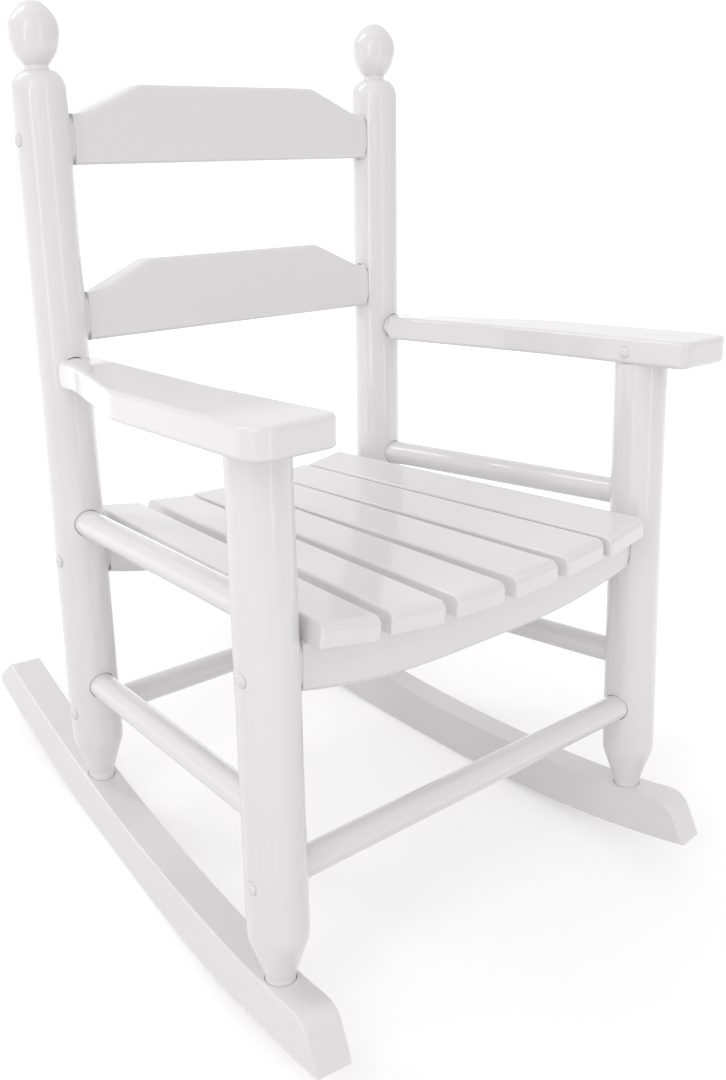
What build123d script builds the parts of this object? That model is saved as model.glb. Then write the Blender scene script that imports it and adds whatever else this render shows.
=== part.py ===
"""Child's wooden porch rocking chair, millimetres and degrees.

The chair is drawn with its posts upright: X across, Y from front to back, Z up, and the
origin midway between the front posts where their feet meet the rockers. At the end the
whole chair is leaned back to the angle at which it comes to rest on its rockers, and set
down on Z = 0 with its bounding box centred on X and Y.
"""

from build123d import *
from math import acos, asin, atan2, cos, degrees, hypot, radians, sin, sqrt, tan
import os

# Frame layout
FRONT_TRACK = 350.0  # between the front post axes
BACK_TRACK = 292.0  # between the back post axes, at the back feet
FRAME_DEPTH = 242.0  # front post axis to back post axis
BACK_SPLAY = 0.63  # outward lean of each back post

# Posts
FRONT_POST_D = 37.6
BACK_POST_D = 36.6
TENON_D = 19.0  # turned tenons on the feet, on the post tops and on the arms
FOOT_TAPER = 27.0  # length of the taper from post to foot tenon
FOOT_BLEND = 22.0  # radius that eases the taper into the post
FOOT_TENON = 20.0  # how deep the foot tenon goes into the rocker
FOOT_ROUND = 0.8  # eased end of the foot tenon, and the corner above it
FOOT_REVEAL = 3.0  # tenon left showing above the sloping rocker
TOP_TENON = 12.0  # front post's tenon into the arm
SHOULDER_Z = 535.0  # top of the back post's rounded shoulder
SHOULDER_DROP = 15.0
NECK_D = 17.8
NECK_H = 3.5
NECK_HOLLOW = 0.8
BALL_D = 33.4
BALL_RISE = 20.0  # widest ring to the crown
BALL_FALL = 19.0  # widest ring to the neck

# Rockers: the top edge is two arcs that run into each other
NOSE_CURVE_R = 640.0  # under and ahead of the front post
RUN_CURVE_R = 1260.0  # the rest, back to the tail
CURVE_LOW = -3.0  # lowest point of the front arc, from the front post axis
CURVE_CHANGE = 60.0  # where the arcs meet, behind the front post axis
ROCKER_DEPTH = 32.5
ROCKER_T = 26.0
NOSE_REACH = 54.4  # front post axis to the lower front corner
NOSE_SLOPE = 22.0  # how far the front end is cut back from upright
NOSE_ROUND = 16.0
TAIL_REACH = 417.5  # front post axis to the lower back corner
TAIL_SLOPE = 44.0  # how far the back end is cut back from upright
TAIL_ROUND = 8.0
TAIL_TOE = 6.0  # radius of the lower back corner
ROCKER_EASE = 2.0

# Arms
ARM_T = 18.5
ARM_Z_FRONT = 337.3  # middle of the arm's thickness over the front post
ARM_Z_BACK = 340.6  # the same at the back post
ARM_FRONT = 47.5  # arm's front edge, ahead of the front post axis
ARM_OUT = 38.0  # outer edge, from the line between the post axes
ARM_OUT_FRONT = 34.5
ARM_IN_FRONT = 24.3  # inner edge at the front corner
ARM_IN = 14.8  # inner edge along the back half
ARM_FLARE = 70.0  # where the inner edge starts to open forward
ARM_FLARE_R = 260.0
ARM_HIP = 99.0  # where the outer edge turns in
ARM_HIP_R = 42.0
ARM_NECK = 200.0  # where the outer edge straightens again
ARM_NECK_R = 100.0
ARM_NECK_OUT = 14.2
ARM_CORNER_OUT = 14.0
ARM_CORNER_IN = 9.0
ARM_EASE = 3.0
ARM_SHARPEN = 7.5  # length over which the back end is rounded down
ARM_SHARPEN_R = 17.5
ARM_SHOULDER = 3.0  # step from the rounded end down to the tenon
ARM_TENON_SHOW = 4.5  # tenon in sight between the arm and the back post

# Dowels
DOWEL_D = 19.0
UPPER_SIDE_Z = (230.0, 233.8)  # at the front post, at the back post
LOWER_SIDE_Z = (104.6, 111.7)
FRONT_STRETCHER_Z = 67.8
BACK_STRETCHER_Z = 88.7

# Boards let into the posts
BOARD_T = 17.0
TENON_IN = 15.0  # how deep dowels, rails and slats enter a post
TENON_STEP = 0.4  # shoulder all round a board's round-ended tenon
TENON_SHOW = 0.6  # gap between that shoulder and the post's nearest line
TENON_ROOT = 2.0  # how far inside its board a tenon starts
BACK_SLAT_H = 52.4
BACK_SLAT_END_H = 33.2
BACK_SLAT_FLAT = 157.0  # level part of the top edge
BACK_SLAT_SHOULDER = 8.0  # level part next to each post
BACK_SLAT_CREST_R = 14.0
BACK_SLAT_HOLLOW_R = 26.0
BACK_SLAT_EASE = 3.2
UPPER_SLAT_Z = 475.0  # underside of the upper back slat
LOWER_SLAT_Z = 358.4

# Seat
SEAT_Z = 199.9  # top of the front rail at its middle
SEAT_RISE = 11.2  # how much higher the back rail stands
FRONT_RAIL_H = 33.8  # rail depth at its middle
FRONT_RAIL_END_H = 32.0
BACK_RAIL_H = 33.0
BACK_RAIL_END_H = 29.5
RAIL_FLAT = 70.0  # level part of a rail's lower edge
FRONT_DISH_R = 1026.0  # hollow of the front rail's top edge
BACK_DISH_R = 900.0
RAIL_EASE = 3.0
SEAT_SLAT_W = 42.6  # at the front end
SEAT_SLAT_BACK_W = 36.9
SEAT_SLAT_T = 14.5
FRONT_SIDE_GAP = 6.5  # outer slat to front post, were the slats evenly spaced
BACK_SIDE_GAP = 4.6
FRONT_SHIFT = (-4.7, -2.1, 0.9, 2.6, 0.9, -4.7)  # each slat off even spacing, in front
BACK_SHIFT = (-2.3, 4.1, 3.6, 1.7, -0.4, -2.3)  # the same on the back rail
SEAT_OVERHANG = 27.4  # slat ends ahead of the front post axis
SEAT_TAIL = 21.0  # slat ends behind the back post axis
SEAT_SLAT_NOSE = 5.5  # rounding across the ends
SEAT_SLAT_EDGE = 1.8  # rounding along the top and up the corners
SEAT_SLAT_EASE = 1.0  # bottom edges

# Fasteners
SCREW_HEAD_D = 8.0
SCREW_HEAD_H = 2.4
SCREW_RIM = 1.1  # straight part of the head's side
SCREW_TOP_D = 4.4  # flat on top of the head
SCREW_SHANK_D = 4.2
FRAME_SCREW_L = 42.0
ARM_SCREW_L = 30.0
SLAT_SCREW_L = 31.0
SLAT_SCREW_BITE = 9.5  # how far a seat screw enters its slat
ARM_SCREW_BACK = 2.5  # arm's screw, behind the front post axis
ARM_SCREW_DROP = 1.0
CAP_D = 8.4
CAP_DOME = 1.8
CAP_RIM = 0.5  # straight part of the cap's side, above the wood
CAP_STEM = 4.0
COUNTERBORE = 7.0  # depth of the hole under a cap

# Fits
JOINT_GAP = 0.35  # all round a tenon or dowel in its hole
ARM_HOLE_GAP = 0.5  # all round the arm's tenon in the back post
MORTISE_END_GAP = 0.8  # above and below a round-ended tenon
SEAT_GAP = 0.05  # between faces that bear on each other
SCREW_GAP = 0.05
CAP_GAP = 0.15

FRONT_R = FRONT_POST_D / 2
BACK_R = BACK_POST_D / 2
TENON_R = TENON_D / 2
DOWEL_R = DOWEL_D / 2
SEAT_SLATS = len(FRONT_SHIFT)
QUARTER_TURN = 90.0
PLAN_ANGLE = degrees(atan2((FRONT_TRACK - BACK_TRACK) / 2, FRAME_DEPTH))
SEAT_PITCH = degrees(atan2(SEAT_RISE, FRAME_DEPTH))


def front_axis(z):
    """Point on the right front post's axis at height z."""
    return Vector(FRONT_TRACK / 2, 0, z)


# Centres of the rocker's two arcs, as distance along the rocker and height
NOSE_CENTRE = (CURVE_LOW, sqrt(NOSE_CURVE_R**2 - CURVE_LOW**2))
CHANGE_ANGLE = asin((CURVE_CHANGE - CURVE_LOW) / NOSE_CURVE_R)
RUN_CENTRE = (
    NOSE_CENTRE[0] - (RUN_CURVE_R - NOSE_CURVE_R) * sin(CHANGE_ANGLE),
    NOSE_CENTRE[1] + (RUN_CURVE_R - NOSE_CURVE_R) * cos(CHANGE_ANGLE),
)


def curve_point(u, below=0.0):
    """Point of the rocker's curve at u, on the top edge or some depth below it."""
    ahead = u < CURVE_CHANGE + below * sin(CHANGE_ANGLE)
    centre, radius = (NOSE_CENTRE, NOSE_CURVE_R) if ahead else (RUN_CENTRE, RUN_CURVE_R)
    return (u, centre[1] - sqrt((radius + below) ** 2 - (u - centre[0]) ** 2))


BACK_U = hypot((FRONT_TRACK - BACK_TRACK) / 2, FRAME_DEPTH)
BACK_FOOT_Z = curve_point(BACK_U)[1]


def back_axis(z):
    """Point on the right back post's axis at height z."""
    x = BACK_TRACK / 2 + (z - BACK_FOOT_Z) * tan(radians(BACK_SPLAY))
    return Vector(x, FRAME_DEPTH, z)


# Frame of the right arm: middle of its thickness over the front post, X along it
ARM_START = front_axis(ARM_Z_FRONT)
ARM_END = back_axis(ARM_Z_BACK)
ARM_AXIS = ARM_END - ARM_START
ARM_LINE = Vector(ARM_AXIS.X, ARM_AXIS.Y, 0).normalized()
ARM_PLANE = Plane(
    origin=ARM_START,
    x_dir=ARM_AXIS,
    z_dir=ARM_AXIS.cross(Vector(ARM_LINE.Y, -ARM_LINE.X, 0)) * -1,
)


def cylinder_between(start, end, radius):
    """Round bar from one point to another."""
    axis = end - start
    return Plane(origin=start, z_dir=axis) * Cylinder(
        radius, axis.length, align=(Align.CENTER, Align.CENTER, Align.MIN)
    )


def mirrored(shape):
    """The same piece on the other side of the chair."""
    return mirror(shape, about=Plane.YZ)


# ---------------------------------------------------------------- posts
def foot_profile(radius, foot_z):
    """Foot tenon and the tapered, eased foot above it, up the post's side."""
    return FilletPolyline(
        (0, foot_z - FOOT_TENON),
        (TENON_R, foot_z - FOOT_TENON),
        (TENON_R, foot_z + FOOT_REVEAL),
        (radius, foot_z + FOOT_REVEAL + FOOT_TAPER),
        (radius, foot_z + 3 * FOOT_TAPER),
        radius=(FOOT_ROUND, FOOT_ROUND, FOOT_BLEND),
    )


def turned(profile):
    """Solid of revolution about Z from a profile drawn as radius and height."""
    return revolve(Plane.XZ * make_face(profile), Axis.Z)


def front_post_blank():
    """Front post: tapered foot, barrel cut to the arm's slope, tenon for the arm."""
    foot = foot_profile(FRONT_R, 0)
    top = ARM_Z_FRONT
    barrel = turned(foot + Polyline(foot @ 1, (FRONT_R, top), (0, top), foot @ 0))
    barrel = Pos(FRONT_TRACK / 2, 0, 0) * barrel
    under_arm = ARM_PLANE.offset(-ARM_T / 2 - SEAT_GAP)
    above = Cylinder(FRONT_POST_D, ARM_T, align=(Align.CENTER, Align.CENTER, Align.MIN))
    shoulder = ARM_Z_FRONT - ARM_T / 2
    tenon = cylinder_between(
        front_axis(shoulder - TOP_TENON), front_axis(shoulder + TOP_TENON), TENON_R
    )
    return barrel - under_arm * above + tenon


def quarter_oval(centre_z, radius, height, begin_r, end_r):
    """Smooth quarter of an oval about the post's axis, between two of its radii."""
    first, last = (acos(min(1, r / radius)) for r in (begin_r, end_r))
    points = []
    tangents = []
    for share in (0, 1 / 3, 2 / 3, 1):
        angle = first + (last - first) * share
        points.append((radius * cos(angle), centre_z + height * sin(angle)))
    for angle in (first, last):
        turn = 1 if last > first else -1
        tangents.append((-radius * sin(angle) * turn, height * cos(angle) * turn))
    return Spline(*points, tangents=tangents)


def back_post_blank():
    """Back post: tapered foot, barrel, round shoulder, neck and egg-shaped ball."""
    foot = foot_profile(BACK_R, 0)
    neck_r = NECK_D / 2
    ball_r = BALL_D / 2
    shoulder = SHOULDER_Z - BACK_FOOT_Z
    neck = shoulder + NECK_H
    ball = neck + BALL_FALL
    shoulder_arc = EllipticalCenterArc(
        (neck_r, shoulder - SHOULDER_DROP), BACK_R - neck_r, SHOULDER_DROP, 0, arc_size=QUARTER_TURN
    )
    neck_arc = ThreePointArc(
        (neck_r, shoulder), (neck_r - NECK_HOLLOW, shoulder + NECK_H / 2), (neck_r, neck)
    )
    tuck_h = BALL_FALL / sqrt(1 - (neck_r / ball_r) ** 2)  # oval that meets the neck
    lower_ball = quarter_oval(ball, ball_r, -tuck_h, neck_r, ball_r)
    crown = quarter_oval(ball, ball_r, BALL_RISE, ball_r, 0)
    profile = (
        foot
        + Line(foot @ 1, shoulder_arc @ 0)
        + shoulder_arc
        + neck_arc
        + lower_ball
        + crown
        + Line(crown @ 1, foot @ 0)
    )
    base = back_axis(BACK_FOOT_Z)
    return Pos(*base) * Rot(Y=BACK_SPLAY) * turned(profile)


# ---------------------------------------------------------------- rockers
ROCKER_PLANE = Plane(
    origin=front_axis(0),
    x_dir=(-sin(radians(PLAN_ANGLE)), cos(radians(PLAN_ANGLE)), 0),
    z_dir=(cos(radians(PLAN_ANGLE)), sin(radians(PLAN_ANGLE)), 0),
)


def curve_edge(start, end, below=0.0):
    """Both arcs of the rocker's curve from start to end, at a depth below the top edge."""
    change = CURVE_CHANGE + below * sin(CHANGE_ANGLE)
    halfway = [curve_point(u, below) for u in ((start + change) / 2, (change + end) / 2)]
    ends = [curve_point(u, below) for u in (start, change, end)]
    return ThreePointArc(ends[0], halfway[0], ends[1]) + ThreePointArc(
        ends[1], halfway[1], ends[2]
    )


def rocker_blank():
    """Rocker: a curved board with a raked, rounded nose and tail."""
    nose_u = -NOSE_REACH + ROCKER_DEPTH * tan(radians(NOSE_SLOPE))
    tail_u = TAIL_REACH - ROCKER_DEPTH * tan(radians(TAIL_SLOPE))
    nose, nose_top = curve_point(-NOSE_REACH, ROCKER_DEPTH), curve_point(nose_u)
    tail, tail_top = curve_point(TAIL_REACH, ROCKER_DEPTH), curve_point(tail_u)
    outline = (
        curve_edge(-NOSE_REACH, TAIL_REACH, ROCKER_DEPTH)
        + Line(tail, tail_top)
        + curve_edge(nose_u, tail_u)
        + Line(nose_top, nose)
    )
    side = make_face(outline)
    rounds = ((nose_top, NOSE_ROUND), (tail_top, TAIL_ROUND), (tail, TAIL_TOE))
    for corner, radius in rounds:
        side = fillet(side.vertices().sort_by_distance(corner)[0], radius)
    blank = extrude(side, ROCKER_T / 2, both=True)
    return ROCKER_PLANE * fillet(blank.faces().filter_by(Axis.Z).edges(), ROCKER_EASE)


# ---------------------------------------------------------------- arms
def arm_blank():
    """Arm: a flat paddle, wide at the front, rounded down to a tenon at the back."""
    length = ARM_AXIS.length
    at_post = length - BACK_R
    shear = tan(radians(PLAN_ANGLE))  # keeps the front edge square to the chair
    corners = (
        (-ARM_FRONT + ARM_IN_FRONT * shear, ARM_IN_FRONT),
        (-ARM_FRONT - ARM_OUT_FRONT * shear, -ARM_OUT_FRONT),
        (ARM_HIP, -ARM_OUT),
        (ARM_NECK, -ARM_NECK_OUT),
        (at_post, -ARM_NECK_OUT),
        (at_post, ARM_IN),
        (ARM_FLARE, ARM_IN),
    )
    radii = (ARM_CORNER_IN, ARM_CORNER_OUT, ARM_HIP_R, ARM_NECK_R, 0, 0, ARM_FLARE_R)
    face = make_face(Polyline(*corners, close=True))
    for corner, radius in zip(corners, radii):
        if radius:
            face = fillet(face.vertices().sort_by_distance(corner)[0], radius)
    blank = extrude(face, ARM_T / 2, both=True)
    blank = fillet(blank.faces().filter_by(Axis.Z).edges(), ARM_EASE)
    end = at_post - ARM_TENON_SHOW
    start = end - ARM_SHARPEN
    end_r = TENON_R + ARM_SHOULDER
    envelope = (
        Polyline((0, -2 * ARM_FRONT), (2 * ARM_OUT, -2 * ARM_FRONT), (2 * ARM_OUT, start))
        + Line((2 * ARM_OUT, start), (ARM_SHARPEN_R, start))
        + TangentArc((ARM_SHARPEN_R, start), (end_r, end), tangent=(0, 1))
        + Polyline((end_r, end), (0, end), (0, -2 * ARM_FRONT))
    )
    along = Rot(Y=QUARTER_TURN)
    tenon = Cylinder(TENON_R, 2 * TENON_IN, align=(Align.CENTER, Align.CENTER, Align.MAX))
    blank = (blank & along * turned(envelope)) + Pos(at_post + TENON_IN, 0, 0) * along * tenon
    return ARM_PLANE * blank


# ---------------------------------------------------------------- dowels and boards
def side_dowel(heights, radius, reach):
    """Dowel between a front and a back post, reaching into both."""
    start = front_axis(heights[0])
    end = back_axis(heights[1])
    unit = (end - start).normalized()
    return cylinder_between(
        start + unit * (FRONT_R - reach), end - unit * (BACK_R - reach), radius
    )


def cross_dowel(axis_point, post_r, radius, reach):
    """Dowel across the chair between two posts."""
    half = axis_point.X - post_r + reach
    return cylinder_between(
        Vector(-half, axis_point.Y, axis_point.Z),
        Vector(half, axis_point.Y, axis_point.Z),
        radius,
    )


def eased_board(face, ease):
    """Board of BOARD_T cut to an outline drawn upright, eased along its length."""
    blank = extrude(face, BOARD_T / 2, both=True)
    long_edges = blank.faces().filter_by(Axis.Z).edges().filter_by(Axis.Y, reverse=True)
    return fillet(long_edges, ease)


def let_in(blank, plane, end_x, middle_y, height):
    """Board with a round-ended tenon at both ends, and its mortise tool on the right."""
    section = Plane(origin=(end_x - TENON_ROOT, middle_y, 0), x_dir=(0, 1, 0), z_dir=(1, 0, 0))
    tall = height - 2 * TENON_STEP
    thick = BOARD_T - 2 * TENON_STEP
    reach = TENON_ROOT + TENON_SHOW + TENON_IN
    tenon = extrude(section * SlotOverall(tall, thick), reach)
    opening = SlotOverall(tall + 2 * MORTISE_END_GAP, thick + 2 * JOINT_GAP)
    mortise = extrude(section * opening, reach + JOINT_GAP)
    return plane * (blank + tenon + mirrored(tenon)), plane * mortise


def back_slat(bottom_z):
    """Back slat: level crest and sloping shoulders; its mortise tool comes with it."""
    end_x = back_axis(bottom_z + BACK_SLAT_END_H / 2).X - BACK_R - TENON_SHOW
    crest = BACK_SLAT_FLAT / 2
    hollow = end_x - BACK_SLAT_SHOULDER
    points = (
        (-end_x, 0),
        (end_x, 0),
        (end_x, BACK_SLAT_END_H),
        (hollow, BACK_SLAT_END_H),
        (crest, BACK_SLAT_H),
        (-crest, BACK_SLAT_H),
        (-hollow, BACK_SLAT_END_H),
        (-end_x, BACK_SLAT_END_H),
    )
    face = make_face(Polyline(*points, close=True))
    for index in (3, 4, 5, 6):
        corner = face.vertices().sort_by_distance(points[index])[0]
        radius = BACK_SLAT_CREST_R if index in (4, 5) else BACK_SLAT_HOLLOW_R
        face = fillet(corner, radius)
    plane = Plane(origin=(0, FRAME_DEPTH, bottom_z), x_dir=(1, 0, 0), z_dir=(0, -1, 0))
    blank = eased_board(face, BACK_SLAT_EASE)
    return let_in(blank, plane, end_x, BACK_SLAT_END_H / 2, BACK_SLAT_END_H)


# The seat has a plane of its own, rising towards the back.
SEAT_PLANE = Plane(
    origin=(0, 0, SEAT_Z),
    x_dir=(1, 0, 0),
    z_dir=(0, -sin(radians(SEAT_PITCH)), cos(radians(SEAT_PITCH))),
)
BACK_RAIL_Y = FRAME_DEPTH / cos(radians(SEAT_PITCH))
BACK_RAIL_X = back_axis(SEAT_Z + SEAT_RISE).X


def dish(radius, x):
    """Rise of a rail's hollow top edge above its middle."""
    return radius - sqrt(radius**2 - x**2)


def seat_rail(post_face, along, dish_r, middle_h, end_h):
    """Seat rail: hollow top edge for the slats, lower edge level and then rising."""
    end_x = post_face - TENON_SHOW
    flat = RAIL_FLAT / 2
    top = dish(dish_r, end_x)
    low = top - end_h
    outline = (
        ThreePointArc((-end_x, top), (0, 0), (end_x, top))
        + Line((end_x, top), (end_x, low))
        + TangentArc((flat, -middle_h), (end_x, low), tangent=(1, 0))
        + Line((flat, -middle_h), (-flat, -middle_h))
        + TangentArc((-flat, -middle_h), (-end_x, low), tangent=(-1, 0))
        + Line((-end_x, low), (-end_x, top))
    )
    upright = Plane(
        origin=SEAT_PLANE.from_local_coords(Vector(0, along, 0)),
        x_dir=(1, 0, 0),
        z_dir=SEAT_PLANE.y_dir * -1,
    )
    blank = eased_board(make_face(outline), RAIL_EASE)
    return let_in(blank, upright, end_x, (top + low) / 2, end_h)


def front_rail():
    """Rail between the front posts."""
    post_face = FRONT_TRACK / 2 - FRONT_R
    return seat_rail(post_face, 0, FRONT_DISH_R, FRONT_RAIL_H, FRONT_RAIL_END_H)


def back_rail():
    """Rail between the back posts."""
    post_face = BACK_RAIL_X - BACK_R
    return seat_rail(post_face, BACK_RAIL_Y, BACK_DISH_R, BACK_RAIL_H, BACK_RAIL_END_H)


# ---------------------------------------------------------------- seat slats
def slat_width(along, span):
    """Width of a seat slat at some distance behind the front rail."""
    share = (along + SEAT_OVERHANG) / (span + SEAT_OVERHANG + SEAT_TAIL)
    return SEAT_SLAT_W + (SEAT_SLAT_BACK_W - SEAT_SLAT_W) * share


def slat_x(index, along, post_face, side_gap, shift):
    """Middle of a slat, across the chair, where it lies on a rail."""
    width = slat_width(along, BACK_RAIL_Y)
    pitch = (2 * (post_face - side_gap) - width) / (SEAT_SLATS - 1)
    return (index - (SEAT_SLATS - 1) / 2) * pitch + shift[index]


def bed(x, along, roll, dish_r):
    """Middle of a slat's underside when the slat touches a rail with its higher edge."""
    half = slat_width(along, BACK_RAIL_Y) / 2
    reach = half * cos(roll)
    climb = half * sin(roll)
    height = max(dish(dish_r, x + reach) - climb, dish(dish_r, x - reach) + climb)
    return SEAT_PLANE.from_local_coords(Vector(x, along, height + SEAT_GAP))


def slat_plane(index):
    """Plane of a slat's underside, with its origin over the front rail and Y along it."""
    front_face = FRONT_TRACK / 2 - FRONT_R
    back_face = BACK_RAIL_X - BACK_R
    front_x = slat_x(index, 0, front_face, FRONT_SIDE_GAP, FRONT_SHIFT)
    back_x = slat_x(index, BACK_RAIL_Y, back_face, BACK_SIDE_GAP, BACK_SHIFT)
    roll = (front_x / FRONT_DISH_R + back_x / BACK_DISH_R) / 2
    front = bed(front_x, 0, roll, FRONT_DISH_R)
    back = bed(back_x, BACK_RAIL_Y, roll, BACK_DISH_R)
    run = (back - front).normalized()
    across = SEAT_PLANE.x_dir * cos(roll) + SEAT_PLANE.z_dir * sin(roll)
    up = across.cross(run)
    return Plane(origin=front, x_dir=run.cross(up), z_dir=up), (back - front).length


def seat_slat(plane, span):
    """Seat slat: tapered board, rounded over its ends and eased along its edges."""
    front = -SEAT_OVERHANG
    back = span + SEAT_TAIL
    half, back_half = SEAT_SLAT_W / 2, SEAT_SLAT_BACK_W / 2
    plan = make_face(
        Polyline((-half, front), (half, front), (back_half, back), (-back_half, back), close=True)
    )
    side = make_face(
        Polyline((front, 0), (back, 0), (back, SEAT_SLAT_T), (front, SEAT_SLAT_T), close=True)
    )
    side = fillet(side.vertices().group_by(Axis.Y)[-1], SEAT_SLAT_NOSE)
    slat = extrude(plan, SEAT_SLAT_T) & extrude(Plane.YZ * side, SEAT_SLAT_W, both=True)
    flanks = slat.faces().filter_by(lambda face: abs(face.normal_at().X) > 0.9)
    slat = fillet(flanks.edges().filter_by_position(Axis.Z, 1, SEAT_SLAT_T), SEAT_SLAT_EDGE)
    slat = fillet(slat.faces().sort_by(Axis.Z)[0].edges(), SEAT_SLAT_EASE)
    return plane * slat


# ---------------------------------------------------------------- fasteners
def screw(length, gap=0.0):
    """Screw seated with its head's underside at Z = 0 and its point down -Z."""
    head_r = SCREW_HEAD_D / 2
    shank_r = SCREW_SHANK_D / 2 + gap
    tip = 2 * SCREW_SHANK_D
    profile = Polyline(
        (0, -length - gap),
        (shank_r, -length + tip),
        (shank_r, 0),
        (head_r, 0),
        (head_r, SCREW_RIM),
        (SCREW_TOP_D / 2, SCREW_HEAD_H),
        (0, SCREW_HEAD_H),
        close=True,
    )
    return turned(profile)


def screw_cap():
    """Cover cap: plain stem under a low dome, Z = 0 at the wood's surface."""
    radius = CAP_D / 2
    rise = CAP_DOME - CAP_RIM
    dome_r = (radius**2 + rise**2) / (2 * rise)
    half = asin(radius / dome_r) / 2
    midway = (dome_r * sin(half), CAP_DOME - dome_r * (1 - cos(half)))
    profile = (
        Polyline((0, -CAP_STEM), (radius, -CAP_STEM), (radius, CAP_RIM))
        + ThreePointArc((radius, CAP_RIM), midway, (0, CAP_DOME))
        + Line((0, CAP_DOME), (0, -CAP_STEM))
    )
    return turned(profile)


def counterbore(depth, reach):
    """Hole for a screw head and its cap, from depth below the surface to reach above it."""
    radius = CAP_D / 2 + CAP_GAP
    hole = Cylinder(radius, depth + reach, align=(Align.CENTER, Align.CENTER, Align.MIN))
    return Pos(0, 0, -depth) * hole


def capped_points():
    """Where a capped screw goes in on the right side: plane, screw length."""
    front_x = FRONT_TRACK / 2 - FRONT_R
    back_x = BACK_RAIL_X - BACK_R
    front_up = dish(FRONT_DISH_R, front_x) - FRONT_RAIL_END_H / 2
    back_up = dish(BACK_DISH_R, back_x) - BACK_RAIL_END_H / 2
    rail_front = SEAT_PLANE.from_local_coords(Vector(0, 0, front_up))
    rail_back = SEAT_PLANE.from_local_coords(Vector(0, BACK_RAIL_Y, back_up))
    spots = []
    for height in (rail_front.Z, FRONT_STRETCHER_Z):
        spots.append(front_axis(height) + Vector(FRONT_R, 0, 0))
    for height in (UPPER_SLAT_Z + BACK_SLAT_END_H / 2, rail_back.Z, BACK_STRETCHER_Z):
        spots.append(back_axis(height) + Vector(BACK_R, 0, 0))
    planes = [(Plane(origin=spot, z_dir=(1, 0, 0)), FRAME_SCREW_L) for spot in spots]
    flare = (ARM_FLARE - ARM_SCREW_BACK) / (ARM_FLARE + ARM_FRONT)
    edge = ARM_IN + (ARM_IN_FRONT - ARM_IN) * flare
    in_arm = ARM_PLANE.from_local_coords(Vector(ARM_SCREW_BACK, edge, -ARM_SCREW_DROP))
    planes.append((Plane(origin=in_arm, z_dir=ARM_PLANE.y_dir), ARM_SCREW_L))
    return planes


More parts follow.
